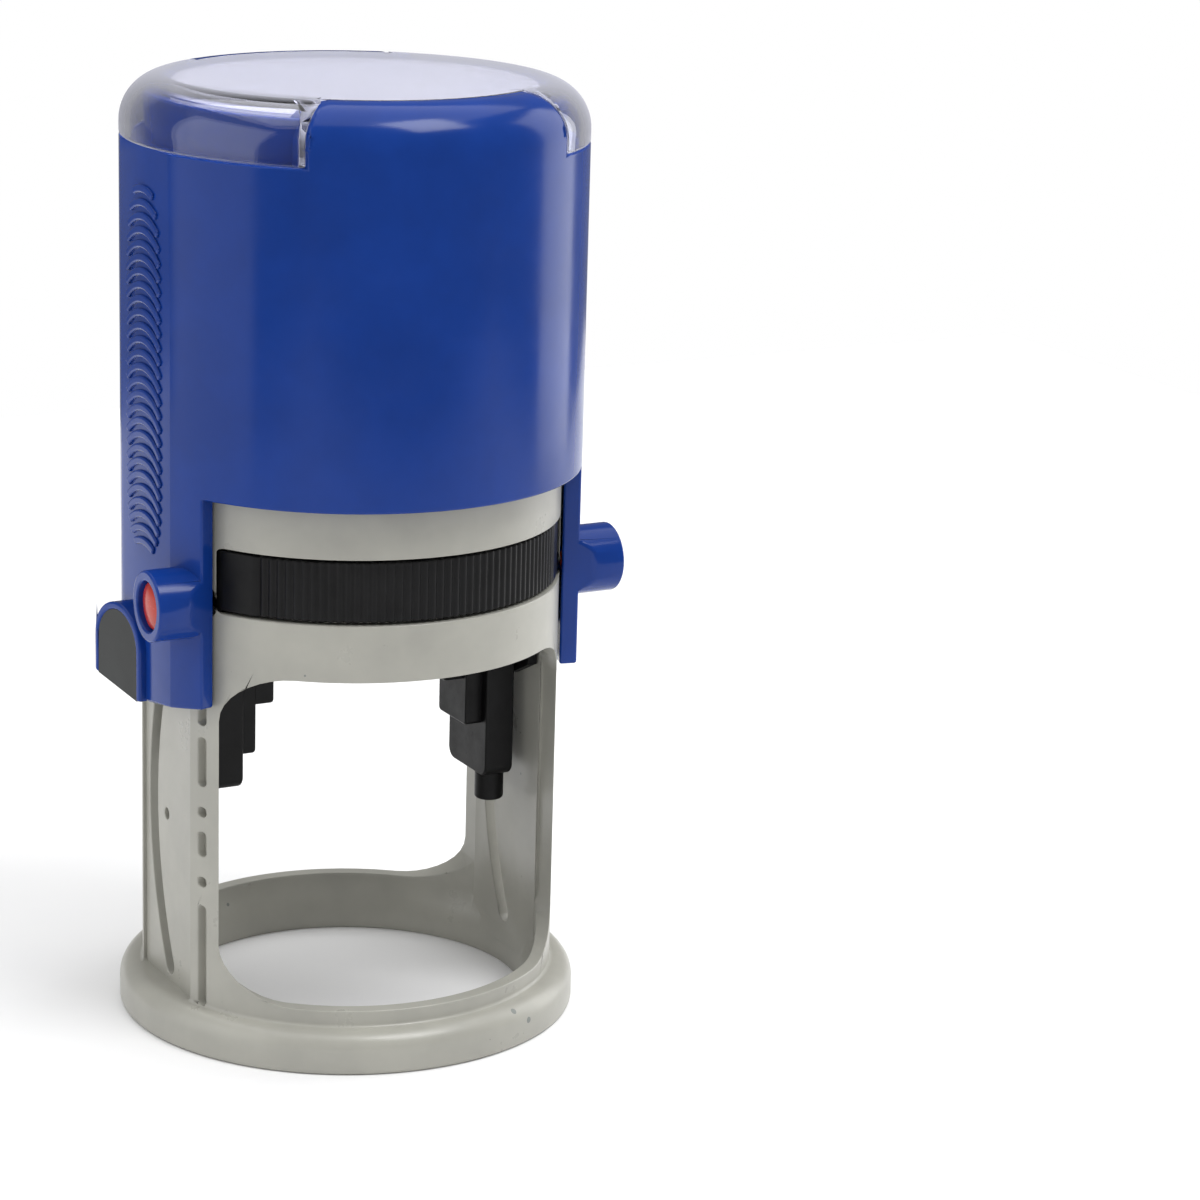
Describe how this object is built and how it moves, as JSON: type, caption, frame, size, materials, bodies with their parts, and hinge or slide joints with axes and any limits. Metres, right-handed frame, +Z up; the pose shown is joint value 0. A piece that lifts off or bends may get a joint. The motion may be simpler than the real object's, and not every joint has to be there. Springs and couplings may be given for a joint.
{
  "type": "self inking stamp",
  "caption": "Round self inking stamp: press-down casing on a legged frame, flipping die carrier, slide-out ink cassette, lock buttons and clear cap.",
  "frame": {"origin": "centre of the base's underside, where the stamp stands on the paper", "axes": "+Z up along the press stroke, -Y the front, where the cassette comes out, +X the right side"},
  "size_m": [0.0606, 0.056, 0.114],
  "materials": {
    "frame_abs": "satin moulded ABS, warm light grey",
    "cassette_black": "satin moulded, ribbed front",
    "ink_foam": "felt faced foam soaked with green ink",
    "casing_abs": "glossy moulded ABS, blue",
    "acetal_black": "satin moulded acetal",
    "label_paper": "plain white card with a faint lavender tint",
    "cap_clear": "polished clear polystyrene",
    "liner_black": "smooth dark liner",
    "spring_steel": "drawn spring wire",
    "button_red": "glossy moulded plastic, red",
    "pin_steel": "ground pin",
    "plate_grey": "moulded backing plate",
    "cushion_foam": "fine closed cell foam",
    "die_rubber": "laser engraved rubber, inked green"
  },
  "bodies": {
    "frame": {"frame_body": "frame_abs", "return_spring": "spring_steel"},
    "ink_cassette": {"cassette_tray": "cassette_black", "ink_pad": "ink_foam"},
    "casing": {"casing_shell": "casing_abs", "press_yoke": "acetal_black", "label_card": "label_paper", "arch_liner_left": "liner_black", "arch_liner_right": "liner_black", "pivot_pin_left": "pin_steel", "pivot_pin_right": "pin_steel", "button_spring_left": "spring_steel", "button_spring_right": "spring_steel"},
    "cap": {"clear_cap": "cap_clear"},
    "button_left": {"lock_button_left": "button_red"},
    "button_right": {"lock_button_right": "button_red"},
    "die_carrier": {"die_carrier": "acetal_black", "cam_pin_left": "pin_steel", "cam_pin_right": "pin_steel", "die_plate": "plate_grey", "foam_cushion": "cushion_foam", "rubber_die": "die_rubber"}
  },
  "joints": [
    {"name": "press_slide", "type": "slide", "parent": "frame", "child": "casing", "axis": [0, 0, 1], "range_m": [-0.031, 0], "stiffness_N_per_m": 500, "springref_m": 0.015, "deforming": ["return_spring", "ink_pad"]},
    {"name": "die_flip", "type": "hinge", "parent": "casing", "child": "die_carrier", "pos_m": [0, 0, 0.043], "axis": [-1, 0, 0], "range_deg": [0, 180]},
    {"name": "cassette_slide", "type": "slide", "parent": "frame", "child": "ink_cassette", "axis": [0, -1, 0], "range_m": [0, 0.048]},
    {"name": "cap_lift", "type": "slide", "parent": "casing", "child": "cap", "axis": [0, 0, 1], "range_m": [0, 0.02]},
    {"name": "lock_button_left_push", "type": "slide", "parent": "casing", "child": "button_left", "axis": [1, 0, 0], "range_m": [0, 0.0018], "stiffness_N_per_m": 400, "springref_m": -0.002, "deforming": ["button_spring_left"]},
    {"name": "lock_button_right_push", "type": "slide", "parent": "casing", "child": "button_right", "axis": [-1, 0, 0], "range_m": [0, 0.0018], "stiffness_N_per_m": 400, "springref_m": -0.002, "deforming": ["button_spring_right"]}
  ],
  "couplings": [
    {"joint": "die_flip", "follows": "press_slide", "rad_per_m": -101.34}
  ]
}
